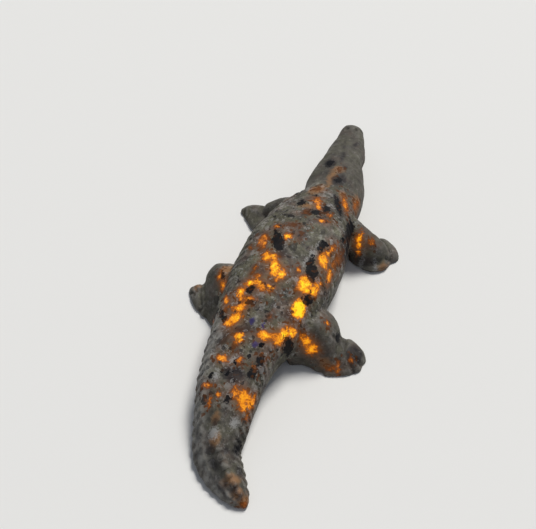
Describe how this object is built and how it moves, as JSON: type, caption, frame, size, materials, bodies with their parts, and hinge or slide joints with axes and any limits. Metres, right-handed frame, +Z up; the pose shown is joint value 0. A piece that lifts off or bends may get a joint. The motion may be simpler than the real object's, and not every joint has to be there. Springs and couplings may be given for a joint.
{
  "type": "stone crocodile carving",
  "caption": "Small stone crocodile, carved from one block of dark syenite with glowing orange spots, lying flat with legs spread and tail bent to one side.",
  "frame": {"origin": "on the ground plane under the middle of the bounding box", "axes": "+Z up, +Y towards the snout, +X towards the animal's right"},
  "size_m": [0.0422, 0.1016, 0.0164],
  "materials": {
    "syenite": "hand-carved and soft-polished dark grey syenite with black grains, brown stains and orange spots that fluoresce under ultraviolet light"
  },
  "bodies": {
    "root": {"crocodile": "syenite"}
  },
  "joints": []
}
